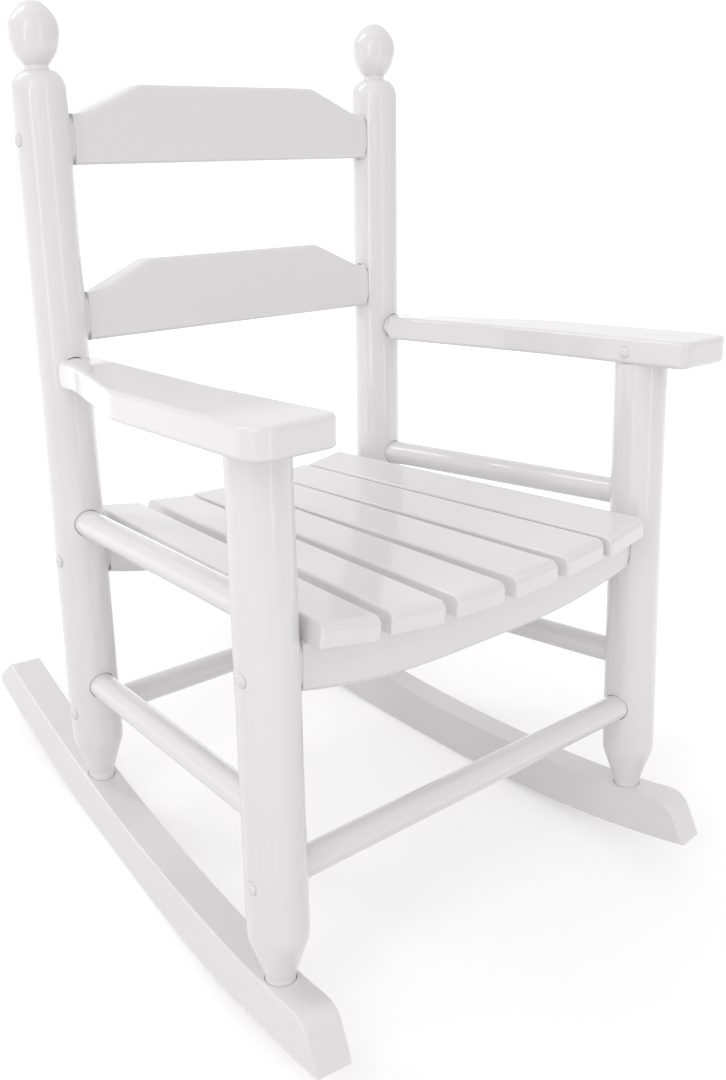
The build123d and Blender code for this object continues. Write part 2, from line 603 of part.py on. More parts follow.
def build():
    """Make every piece, cut its holes, and return the pieces by name."""
    front_post = front_post_blank()
    back_post = back_post_blank()
    rocker = rocker_blank()
    arm = arm_blank()
    rail_in_front, front_mortise = front_rail()
    rail_behind, rail_mortise = back_rail()
    upper_slat, upper_mortise = back_slat(UPPER_SLAT_Z)
    lower_slat, lower_mortise = back_slat(LOWER_SLAT_Z)
    rails = {"front_seat_rail": rail_in_front, "back_seat_rail": rail_behind}
    slats = {"upper_back_slat": upper_slat, "lower_back_slat": lower_slat}
    front_low = front_axis(FRONT_STRETCHER_Z)
    back_low = back_axis(BACK_STRETCHER_Z)
    rungs = {
        "front_stretcher": cross_dowel(front_low, FRONT_R, DOWEL_R, TENON_IN),
        "back_stretcher": cross_dowel(back_low, BACK_R, DOWEL_R, TENON_IN),
    }
    side_rungs = {
        "upper_side_stretcher": side_dowel(UPPER_SIDE_Z, DOWEL_R, TENON_IN),
        "lower_side_stretcher": side_dowel(LOWER_SIDE_Z, DOWEL_R, TENON_IN),
    }

    # Holes and mortises in the posts
    hole_r = DOWEL_R + JOINT_GAP
    deep = TENON_IN + JOINT_GAP
    front_post -= front_mortise
    for mortise in (rail_mortise, upper_mortise, lower_mortise):
        back_post -= mortise
    for heights in (UPPER_SIDE_Z, LOWER_SIDE_Z):
        hole = side_dowel(heights, hole_r, deep)
        front_post -= hole
        back_post -= hole
    front_post -= cross_dowel(front_low, FRONT_R, hole_r, deep)
    back_post -= cross_dowel(back_low, BACK_R, hole_r, deep)
    unit = ARM_AXIS.normalized()
    outside = ARM_END - unit * 2 * BACK_R
    back_post -= cylinder_between(
        outside, ARM_END - unit * (BACK_R - deep), TENON_R + ARM_HOLE_GAP
    )

    # Sockets in the rockers and under the arms
    foot_r = TENON_R + JOINT_GAP
    rocker -= cylinder_between(
        front_axis(-FOOT_TENON - JOINT_GAP), front_axis(FOOT_TAPER), foot_r
    )
    rocker -= cylinder_between(
        back_axis(BACK_FOOT_Z - FOOT_TENON - JOINT_GAP), back_axis(BACK_FOOT_Z + FOOT_TAPER), foot_r
    )
    under = ARM_Z_FRONT - ARM_T / 2
    arm -= cylinder_between(
        front_axis(under - ARM_T), front_axis(under + TOP_TENON + JOINT_GAP), foot_r
    )

    # Screws under caps, on both sides
    screws = []
    caps = []
    for plane, length in capped_points():
        seat = plane.offset(-COUNTERBORE)
        opening = plane * counterbore(COUNTERBORE, CAP_D)
        drill = seat * screw(length, SCREW_GAP)
        front_post -= drill
        back_post -= drill
        arm -= drill
        if plane.z_dir.X > 0:
            front_post -= opening
            back_post -= opening
        else:
            arm -= opening
        for shape in (drill, mirrored(drill)):
            rails = {name: piece - shape for name, piece in rails.items()}
            slats = {name: piece - shape for name, piece in slats.items()}
            rungs = {name: piece - shape for name, piece in rungs.items()}
        fitted = seat * screw(length)
        cap = plane * screw_cap()
        screws += [fitted, mirrored(fitted)]
        caps += [cap, mirrored(cap)]

    # Seat slats, screwed up through the rails
    seat = {}
    seat_screws = []
    for index in range(SEAT_SLATS):
        plane, span = slat_plane(index)
        slat = seat_slat(plane, span)
        for along in (0, span):
            head = Pos(0, along, SLAT_SCREW_BITE - SLAT_SCREW_L) * Rot(X=180)
            fitted = plane * head * screw(SLAT_SCREW_L)
            drill = plane * head * screw(SLAT_SCREW_L, SCREW_GAP)
            pocket = plane * head * Cylinder(
                SCREW_HEAD_D / 2 + CAP_GAP,
                FRONT_RAIL_H,
                align=(Align.CENTER, Align.CENTER, Align.MIN),
            )
            slat -= drill
            rails = {name: piece - drill - pocket for name, piece in rails.items()}
            seat_screws.append(fitted)
        seat[f"seat_slat_{index + 1}"] = slat

    pieces = {}
    sided = {
        "rocker": rocker,
        "front_post": front_post,
        "rear_post": back_post,
        "arm": arm,
        **side_rungs,
    }
    for name, piece in sided.items():
        pieces[f"{name}_right"] = piece
        pieces[f"{name}_left"] = mirrored(piece)
    pieces.update(rails)
    pieces.update(slats)
    pieces.update(rungs)
    pieces.update(seat)
    pieces["frame_screws"] = Compound(children=[Compound(s.wrapped) for s in screws])
    pieces["seat_screws"] = Compound(children=[Compound(s.wrapped) for s in seat_screws])
    pieces["screw_caps"] = Compound(children=[Compound(c.wrapped) for c in caps])
    return pieces


def rest_lean(pieces):
    """Angle at which the chair balances on its soles, its mass taken as all wood."""
    total = sum(piece.volume for piece in pieces.values())
    mass_y = sum(piece.volume * piece.center(CenterOf.MASS).Y for piece in pieces.values())
    mass_z = sum(piece.volume * piece.center(CenterOf.MASS).Z for piece in pieces.values())
    ahead = mass_y / total - RUN_CENTRE[0] * cos(radians(PLAN_ANGLE))
    below = RUN_CENTRE[1] - mass_z / total
    askew = (RUN_CURVE_R + ROCKER_DEPTH) * sin(radians(PLAN_ANGLE)) ** 2  # rockers toe out
    lean = atan2(ahead, below)
    for _ in range(20):
        lean = atan2(ahead, below - askew * cos(lean))
    return degrees(lean)


def main():
    """Build the chair, set it down as it rests and write one STEP file a piece."""
    pieces = build()
    lean = rest_lean(pieces)
    leaned = {name: Rot(X=-lean) * piece for name, piece in pieces.items()}
    boxes = [piece.bounding_box() for piece in leaned.values()]
    low = [min(tuple(box.min)[i] for box in boxes) for i in range(3)]
    high = [max(tuple(box.max)[i] for box in boxes) for i in range(3)]
    settle = Pos(-(low[0] + high[0]) / 2, -(low[1] + high[1]) / 2, -low[2])
    print("lean", round(lean, 3), "size", [round(b - a, 2) for a, b in zip(low, high)])
    print("settle", settle.position)
    os.makedirs("parts", exist_ok=True)
    for name, piece in leaned.items():
        export_step(settle * piece, f"parts/{name}.step")


main()
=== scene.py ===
"""White painted child's porch rocker: its finishes, its threaded screws, a studio and a camera.

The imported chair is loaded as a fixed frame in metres. Every wooden piece keeps its own mesh and is
dressed in satin enamel over timber, with the grain laid along that piece. The screws are built here
with threads and driver recesses, in the places that the frame gives them.
"""

import logging
import math
import random
from dataclasses import dataclass
from enum import Enum
from typing import ClassVar, NamedTuple

import bmesh
import bpy
import numpy as np
from mathutils import Matrix, Vector


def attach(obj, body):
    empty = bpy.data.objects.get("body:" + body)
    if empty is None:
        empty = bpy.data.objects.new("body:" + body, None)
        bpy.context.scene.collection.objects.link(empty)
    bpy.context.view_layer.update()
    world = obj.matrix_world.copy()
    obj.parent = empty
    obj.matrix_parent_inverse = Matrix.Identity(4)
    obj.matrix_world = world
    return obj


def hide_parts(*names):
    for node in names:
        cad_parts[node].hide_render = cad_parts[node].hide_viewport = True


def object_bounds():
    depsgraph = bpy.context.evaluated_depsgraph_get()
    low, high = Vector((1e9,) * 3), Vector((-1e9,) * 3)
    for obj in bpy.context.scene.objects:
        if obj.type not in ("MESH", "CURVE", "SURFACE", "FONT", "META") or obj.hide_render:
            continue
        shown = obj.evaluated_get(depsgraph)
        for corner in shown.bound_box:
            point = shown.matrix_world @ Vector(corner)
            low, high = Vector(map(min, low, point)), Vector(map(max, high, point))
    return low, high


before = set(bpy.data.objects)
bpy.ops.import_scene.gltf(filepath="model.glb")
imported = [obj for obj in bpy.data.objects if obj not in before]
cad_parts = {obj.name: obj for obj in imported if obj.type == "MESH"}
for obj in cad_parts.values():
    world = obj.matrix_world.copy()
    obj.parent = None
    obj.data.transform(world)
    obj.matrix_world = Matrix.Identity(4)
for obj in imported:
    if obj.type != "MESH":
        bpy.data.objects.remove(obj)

LOG = logging.getLogger("porch_rocker")
BODY = "root"
CAD_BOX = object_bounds()

Colour = tuple[float, float, float]
Point = tuple[float, float, float]
Range = tuple[float, float]
Shares = tuple[tuple[str, float], ...]
Socket = bpy.types.NodeSocket

WHITE: Colour = (1.0, 1.0, 1.0)
RISING: Range = (0.0, 1.0)
FALLING: Range = (1.0, 0.0)


# ------------------------------------------------------------------ places and meshes
def toward(azimuth: float, elevation: float) -> Vector:
    """Direction in which something stands, as seen from the chair.

    Args:
        azimuth: Degrees round from straight in front, less than 0 to the left.
        elevation: Degrees above level.

    Returns:
        The direction, of length 1.
    """
    turn, lift = math.radians(azimuth), math.radians(elevation)
    level = math.cos(lift)
    return Vector((math.sin(turn) * level, -math.cos(turn) * level, math.sin(lift)))


def main_axes(points: np.ndarray) -> tuple[np.ndarray, np.ndarray]:
    """Find the directions in which a piece is thin, wide and long.

    Args:
        points: Its vertices, one to a row.

    Returns:
        Its middle, and a matrix whose columns go from the thinnest direction to the longest.
    """
    middle = points.mean(axis=0)
    _, directions = np.linalg.eigh(np.cov((points - middle).T))
    return middle, directions


def ring_point(radius: float, turn: float, height: float) -> Point:
    """Point on a ring round the Z axis, at a turn from 0 to 1."""
    angle = 2 * math.pi * turn
    return radius * math.cos(angle), radius * math.sin(angle), height


def mesh_of(made: bmesh.types.BMesh, name: str) -> bpy.types.Mesh:
    """Turn a build into a mesh.

    Args:
        made: The build, which is freed.
        name: Name of the mesh.

    Returns:
        The mesh.
    """
    mesh = bpy.data.meshes.new(name)
    made.to_mesh(mesh)
    made.free()
    return mesh


def closed_mesh(made: bmesh.types.BMesh, name: str) -> bpy.types.Mesh:
    """Turn a closed build into a mesh whose faces look outwards, and free the build."""
    bmesh.ops.recalc_face_normals(made, faces=made.faces)
    return mesh_of(made, name)


def skinned(rings: list[list[Point]], name: str) -> bpy.types.Mesh:
    """Stretch a skin over rings of points, with a flat face at each end.

    Args:
        rings: The rings, each with as many points as the next.
        name: Name of the mesh.

    Returns:
        The closed mesh.
    """
    made = bmesh.new()
    laid = [[made.verts.new(point) for point in ring] for ring in rings]
    for lower, upper in zip(laid, laid[1:]):
        for side in range(len(lower)):
            after = (side + 1) % len(lower)
            made.faces.new((lower[side], lower[after], upper[after], upper[side]))
    made.faces.new(list(reversed(laid[0])))
    made.faces.new(laid[-1])
    return closed_mesh(made, name)


def put(name: str, data: bpy.types.ID) -> bpy.types.Object:
    """Add an object to the scene.

    Args:
        name: Its name.
        data: Its mesh, lamp or camera.

    Returns:
        The object.
    """
    added = bpy.data.objects.new(name, data)
    bpy.context.scene.collection.objects.link(added)
    return added


# ------------------------------------------------------------------ shader wiring
class Noise(NamedTuple):
    """A smooth random field: features to the metre, its finer layers and their strength."""

    scale: float
    detail: float = 2.0
    rough: float = 0.5


@dataclass(frozen=True)
class Wiring:
    """Short calls that add shader nodes to one tree and join them up."""

    tree: bpy.types.NodeTree

    MIX_COLOURS: ClassVar[tuple[int, int]] = (6, 7)
    MIX_RESULT: ClassVar[int] = 2

    def add(self, kind: str, **settings: object) -> bpy.types.Node:
        """Add a node and set its properties.

        Args:
            kind: Blender's class name of the node.
            **settings: Properties to set on it.

        Returns:
            The new node.
        """
        node = self.tree.nodes.new(kind)
        for name, value in settings.items():
            setattr(node, name, value)
        return node

    def feed(self, socket: Socket, value: object) -> None:
        """Link a socket to another, or set its value.

        Args:
            socket: The input to fill.
            value: An output socket, a number, a vector or a colour.
        """
        if isinstance(value, Socket):
            self.tree.links.new(value, socket)
        elif socket.type == "RGBA":
            socket.default_value = (*value, 1.0)
        else:
            socket.default_value = value

    def output(self, kind: str, surface: Socket) -> None:
        """End the tree with an output node that shows a surface."""
        self.feed(self.add(kind).inputs["Surface"], surface)

    def place(self) -> Socket:
        """Point on the object, in metres."""
        return self.add("ShaderNodeTexCoord").outputs["Object"]

    def calculate(self, operation: str, *values: object) -> Socket:
        """Work on numbers.

        Args:
            operation: Name of the sum, as the Math node has it.
            *values: Its one to three numbers or sockets.

        Returns:
            The result's socket.
        """
        node = self.add("ShaderNodeMath", operation=operation)
        for socket, value in zip(node.inputs, values):
            self.feed(socket, value)
        return node.outputs[0]

    def total(self, fields: dict[str, Socket], shares: Shares) -> Socket:
        """Add fields up, each times its share.

        Args:
            fields: Fields by name.
            shares: Name and share of each field that goes in.

        Returns:
            Socket of the total.
        """
        result: object = 0.0
        for name, share in shares:
            result = self.calculate("MULTIPLY_ADD", fields[name], share, result)
        return result

    def vector(self, operation: str, *values: object) -> Socket:
        """Work on vectors.

        Args:
            operation: Name of the sum, as the Vector Math node has it.
            *values: Vectors or sockets, and for SCALE a vector and then a number.

        Returns:
            The result's socket, a number for DOT_PRODUCT and LENGTH.
        """
        node = self.add("ShaderNodeVectorMath", operation=operation)
        sockets = [node.inputs[0], node.inputs["Scale"]] if operation == "SCALE" else node.inputs
        for socket, value in zip(sockets, values):
            self.feed(socket, value)
        return node.outputs["Value" if operation in ("DOT_PRODUCT", "LENGTH") else "Vector"]

    def noise(self, place: Socket, field: Noise) -> Socket:
        """Smooth random field between 0 and 1.

        Args:
            place: Where to read it.
            field: Its size and layers.

        Returns:
            Socket of the field's value.
        """
        node = self.add("ShaderNodeTexNoise")
        self.feed(node.inputs["Vector"], place)
        self.feed(node.inputs["Scale"], field.scale)
        self.feed(node.inputs["Detail"], field.detail)
        self.feed(node.inputs["Roughness"], field.rough)
        return node.outputs["Fac"]

    def cells(self, place: Socket, scale: float) -> Socket:
        """Distance to the nearest of many scattered points.

        Args:
            place: Where to read it.
            scale: Points to the metre.

        Returns:
            Socket of the distance, in cells.
        """
        node = self.add("ShaderNodeTexVoronoi")
        self.feed(node.inputs["Vector"], place)
        self.feed(node.inputs["Scale"], scale)
        return node.outputs["Distance"]

    def ranged(self, value: Socket, source: Range, target: Range) -> Socket:
        """Bring a number from one range to another and hold it there.

        Args:
            value: The number.
            source: The range it comes in.
            target: The range it leaves in.

        Returns:
            Socket of the new number.
        """
        node = self.add("ShaderNodeMapRange", interpolation_type="SMOOTHSTEP")
        for socket, given in zip(node.inputs, (value, *source, *target)):
            self.feed(socket, given)
        return node.outputs[0]

    def mixed(self, share: Socket, first: Colour, second: Colour) -> Socket:
        """Mix two colours.

        Args:
            share: Share of the second, from 0 to 1.
            first: A colour.
            second: A colour.

        Returns:
            Socket of the mixed colour.
        """
        node = self.add("ShaderNodeMix", data_type="RGBA")
        self.feed(node.inputs["Factor"], share)
        for index, colour in zip(self.MIX_COLOURS, (first, second)):
            self.feed(node.inputs[index], colour)
        return node.outputs[self.MIX_RESULT]

    def relief(self, height: Socket, depth: float) -> Socket:
        """Turn a height into a bumped normal.

        Args:
            height: Field whose 1 is the full depth.
            depth: How high 1 stands, in metres.

        Returns:
            Socket of the normal.
        """
        node = self.add("ShaderNodeBump")
        self.feed(node.inputs["Strength"], 1.0)
        self.feed(node.inputs["Distance"], depth)
        self.feed(node.inputs["Height"], height)
        return node.outputs["Normal"]


def bare_tree(owner: bpy.types.Material | bpy.types.World) -> Wiring:
    """Empty the node tree of a material or world.

    Args:
        owner: The material or world.

    Returns:
        The wiring of its tree.
    """
    owner.use_nodes = True
    owner.node_tree.nodes.clear()
    return Wiring(owner.node_tree)


def new_finish(name: str) -> tuple[bpy.types.Material, Wiring, bpy.types.Node]:
    """Start a material with a Principled shader.

    Args:
        name: The material's name.

    Returns:
        The material, the wiring of its tree and its shader node.
    """
    material = bpy.data.materials.new(name)
    wiring = bare_tree(material)
    shader = wiring.add("ShaderNodeBsdfPrincipled")
    wiring.output("ShaderNodeOutputMaterial", shader.outputs[0])
    return material, wiring, shader


def refinish(piece: bpy.types.Object, finish: bpy.types.Material) -> None:
    """Give a piece one finish in place of those it has."""
    piece.data.materials.clear()
    piece.data.materials.append(finish)


# ------------------------------------------------------------------ timber and finishes
class Cut(Enum):
    """How a piece was taken from the log.

    The pith lies below the piece and to one side of it: the first number is the part of the way
    there that goes across the piece, the second the part that goes through its thickness, and the
    third the distance in metres.
    """

    TURNED = (0.3, 1.0, 0.034)
    FLAT_SAWN = (0.25, 1.0, 0.062)
    RIFT_SAWN = (1.0, 0.8, 0.075)
    DOWEL = (1.0, 0.4, 0.028)

    def __init__(self, across: float, through: float, distance: float) -> None:
        """Name the three numbers of a cut.

        Args:
            across: Part of the way to the pith that goes across the piece.
            through: Part that goes through its thickness.
            distance: How far off the pith is, in metres.
        """
        self.across = across
        self.through = through
        self.distance = distance


@dataclass(frozen=True)
class Grain:
    """Lie of the timber inside one piece."""

    along: Vector
    pith: Vector

    DISTANCE_SPREAD: ClassVar[Range] = (0.8, 1.25)

    @classmethod
    def of(cls, piece: bpy.types.Object, cut: Cut) -> "Grain":
        """Lay the grain along a piece's longest direction.

        Args:
            piece: A mesh whose vertices are in place.
            cut: How it was taken from the log.

        Returns:
            The grain, with a pith of its own for each piece.
        """
        middle, directions = main_axes(np.array([vertex.co for vertex in piece.data.vertices]))
        thick, wide, along = (Vector(directions[:, i]) for i in range(3))
        thick *= math.copysign(1.0, thick.z)
        chance = random.Random(piece.name)
        aim = thick * -cut.through + wide * (cut.across * chance.choice((-1.0, 1.0)))
        distance = cut.distance * chance.uniform(*cls.DISTANCE_SPREAD)
        return cls(along, Vector(middle) + aim.normalized() * distance)


@dataclass(frozen=True)
class SatinEnamel:
    """White enamel, brushed over timber whose growth rings still stand a little.

    Its film has a fine peel, a slow flow and dust nibs, and its clear top shows only those. The
    shares say how much of each field goes into the film, into the height of the painted surface,
    into the paint's tone and into its gloss.
    """

    paint: Colour = (0.858, 0.842, 0.851)
    thin_paint: Colour = (0.836, 0.816, 0.818)
    roughness: Range = (0.285, 0.36)
    gloss_span: Range = (0.25, 0.75)
    coat: float = 0.8
    coat_roughness: float = 0.07
    relief: float = 0.000045
    coat_relief: float = 0.00003

    peel: Noise = Noise(330.0, detail=1.0)
    flow: Noise = Noise(26.0)
    nibs_to_metre: float = 46.0
    nib_span: Range = (0.0, 0.045)

    ring_width: float = 0.0034
    ring_wander: float = 0.009
    ring_wave: Noise = Noise(17.0)
    ring_stretch: float = 0.22
    ring_rise: Range = (0.0, 0.6)
    ring_fall: Range = (0.68, 1.0)

    stroke_width: float = 0.0028
    stroke_stretch: float = 0.03

    film_shares: Shares = (("peel", 0.2), ("flow", 2.2), ("nibs", 0.4))
    height_shares: Shares = (("film", 1.0), ("rings", 0.1), ("strokes", 0.12))
    tone_shares: Shares = (("rings", 0.2), ("strokes", 0.2), ("flow", 0.6))
    gloss_shares: Shares = (("flow", 0.8), ("strokes", 0.2))

    def material(self, name: str, grain: Grain) -> bpy.types.Material:
        """Make the finish of one piece.

        Args:
            name: The piece's name.
            grain: Lie of its timber.

        Returns:
            The material.
        """
        material, wiring, shader = new_finish(f"satin_white_{name}")
        fields = self.fields(wiring, grain)
        tone = wiring.total(fields, self.tone_shares)
        gloss = wiring.total(fields, self.gloss_shares)
        height = wiring.total(fields, self.height_shares)
        wiring.feed(shader.inputs["Base Color"], wiring.mixed(tone, self.paint, self.thin_paint))
        roughness = wiring.ranged(gloss, self.gloss_span, self.roughness)
        wiring.feed(shader.inputs["Roughness"], roughness)
        wiring.feed(shader.inputs["Normal"], wiring.relief(height, self.relief))
        wiring.feed(shader.inputs["Coat Normal"], wiring.relief(fields["film"], self.coat_relief))
        shader.inputs["Coat Weight"].default_value = self.coat
        shader.inputs["Coat Roughness"].default_value = self.coat_roughness
        return material

    def fields(self, wiring: Wiring, grain: Grain) -> dict[str, Socket]:
        """Lay out everything that varies over a piece.

        Args:
            wiring: The tree to work in.
            grain: Lie of the timber.

        Returns:
            The rings, strokes, peel, flow, nibs and film by name.
        """
        place = wiring.place()
        away = wiring.vector("SUBTRACT", place, grain.pith)
        run = wiring.vector("DOT_PRODUCT", away, grain.along)
        axial = wiring.vector("SCALE", grain.along, run)
        radial = wiring.vector("SUBTRACT", away, axial)
        nearness = wiring.cells(place, self.nibs_to_metre)
        fields = {
            "rings": self.rings(wiring, radial, axial),
            "strokes": self.strokes(wiring, radial, axial),
            "peel": wiring.noise(place, self.peel),
            "flow": wiring.noise(place, self.flow),
            "nibs": wiring.ranged(nearness, self.nib_span, FALLING),
        }
        fields["film"] = wiring.total(fields, self.film_shares)
        return fields

    def rings(self, wiring: Wiring, radial: Socket, axial: Socket) -> Socket:
        """Draw growth rings round the pith, each rising slowly and falling fast.

        Args:
            wiring: The tree to work in.
            radial: Way from the pith to the point.
            axial: Way along the pith.

        Returns:
            Socket of the rings, from 0 to 1.
        """
        drawn = wiring.vector("ADD", radial, wiring.vector("SCALE", axial, self.ring_stretch))
        wave = wiring.noise(drawn, self.ring_wave)
        reach = wiring.vector("LENGTH", radial)
        distance = wiring.calculate("MULTIPLY_ADD", wave, self.ring_wander, reach)
        turn = wiring.calculate("FRACT", wiring.calculate("DIVIDE", distance, self.ring_width))
        rise = wiring.ranged(turn, self.ring_rise, RISING)
        fall = wiring.ranged(turn, self.ring_fall, FALLING)
        return wiring.calculate("MULTIPLY", rise, fall)

    def strokes(self, wiring: Wiring, radial: Socket, axial: Socket) -> Socket:
        """Brush strokes drawn out along the grain, from 0 to 1."""
        drawn = wiring.vector("ADD", radial, wiring.vector("SCALE", axial, self.stroke_stretch))
        return wiring.noise(drawn, Noise(1.0 / self.stroke_width, detail=1.0))

    def dress(self, node: str, cut: Cut) -> None:
        """Give a wooden piece of the frame this finish.

        Args:
            node: The piece's name.
            cut: How its timber was cut.
        """
        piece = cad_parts[node]
        refinish(piece, self.material(piece.name, Grain.of(piece, cut)))
        LOG.info("%s: satin enamel over %s stock", piece.name, cut.name.lower())


@dataclass(frozen=True)
class MottledFinish:
    """A finish in soft patches of two tones, with a fine grit in its surface."""

    tone: Colour
    other_tone: Colour
    patches: Noise
    grit: Noise
    roughness: Range
    relief: float
    metallic: float = 0.0
    ior: float = 1.5

    PATCH_SPAN: ClassVar[Range] = (0.3, 0.7)

    def material(self, name: str) -> bpy.types.Material:
        """Make the finish.

        Args:
            name: The material's name.

        Returns:
            The material.
        """
        material, wiring, shader = new_finish(name)
        place = wiring.place()
        patches = wiring.noise(place, self.patches)
        grit = wiring.noise(place, self.grit)
        wiring.feed(shader.inputs["Base Color"], wiring.mixed(patches, self.tone, self.other_tone))
        roughness = wiring.ranged(patches, self.PATCH_SPAN, self.roughness)
        wiring.feed(shader.inputs["Roughness"], roughness)
        wiring.feed(shader.inputs["Normal"], wiring.relief(grit, self.relief))
        shader.inputs["Metallic"].default_value = self.metallic
        shader.inputs["IOR"].default_value = self.ior
        return material


@dataclass(frozen=True)
class MouldedPlastic(MottledFinish):
    """White moulded plastic, a little glossier and cooler than the enamel."""

    tone: Colour = (0.85, 0.845, 0.85)
    other_tone: Colour = (0.82, 0.808, 0.80)
    patches: Noise = Noise(140.0)
    grit: Noise = Noise(1400.0)
    roughness: Range = (0.2, 0.3)
    relief: float = 0.000012
    ior: float = 1.46


@dataclass(frozen=True)
class ZincPlate(MottledFinish):
    """Bright zinc plating, dull in small patches."""

    tone: Colour = (0.66, 0.665, 0.67)
    other_tone: Colour = (0.47, 0.475, 0.47)
    patches: Noise = Noise(420.0, detail=4.0, rough=0.6)
    grit: Noise = Noise(2600.0)
    roughness: Range = (0.24, 0.46)
    relief: float = 0.00002
    metallic: float = 1.0


ENAMEL = SatinEnamel()


# ------------------------------------------------------------------ wooden sub-assemblies
@dataclass(frozen=True)
class SideFrame:
    """One side of the chair: rocker, two turned posts, arm and two side stretchers."""

    side: str

    CUTS: ClassVar[dict[str, Cut]] = {
        "rocker": Cut.FLAT_SAWN,
        "front_post": Cut.TURNED,
        "rear_post": Cut.TURNED,
        "arm": Cut.FLAT_SAWN,
        "upper_side_stretcher": Cut.DOWEL,
        "lower_side_stretcher": Cut.DOWEL,
    }

    def dress(self) -> None:
        """Paint every piece of this side."""
        for piece, cut in self.CUTS.items():
            ENAMEL.dress(f"{piece}_{self.side}", cut)


@dataclass(frozen=True)
class CrossPieces:
    """Everything that joins the two sides but the seat slats."""

    CUTS: ClassVar[dict[str, Cut]] = {
        "upper_back_slat": Cut.FLAT_SAWN,
        "lower_back_slat": Cut.RIFT_SAWN,
        "front_seat_rail": Cut.FLAT_SAWN,
        "back_seat_rail": Cut.FLAT_SAWN,
        "front_stretcher": Cut.DOWEL,
        "back_stretcher": Cut.DOWEL,
    }

    def dress(self) -> None:
        """Paint the back slats, rails and stretchers."""
        for piece, cut in self.CUTS.items():
            ENAMEL.dress(piece, cut)


@dataclass(frozen=True)
class SeatDeck:
    """The dished row of seat slats, every third of them rift sawn and the others flat sawn."""

    slats: int = 6
    rift_every: int = 3

    def dress(self) -> None:
        """Paint the slats."""
        for number in range(1, self.slats + 1):
            cut = Cut.FLAT_SAWN if number % self.rift_every else Cut.RIFT_SAWN
            ENAMEL.dress(f"seat_slat_{number}", cut)


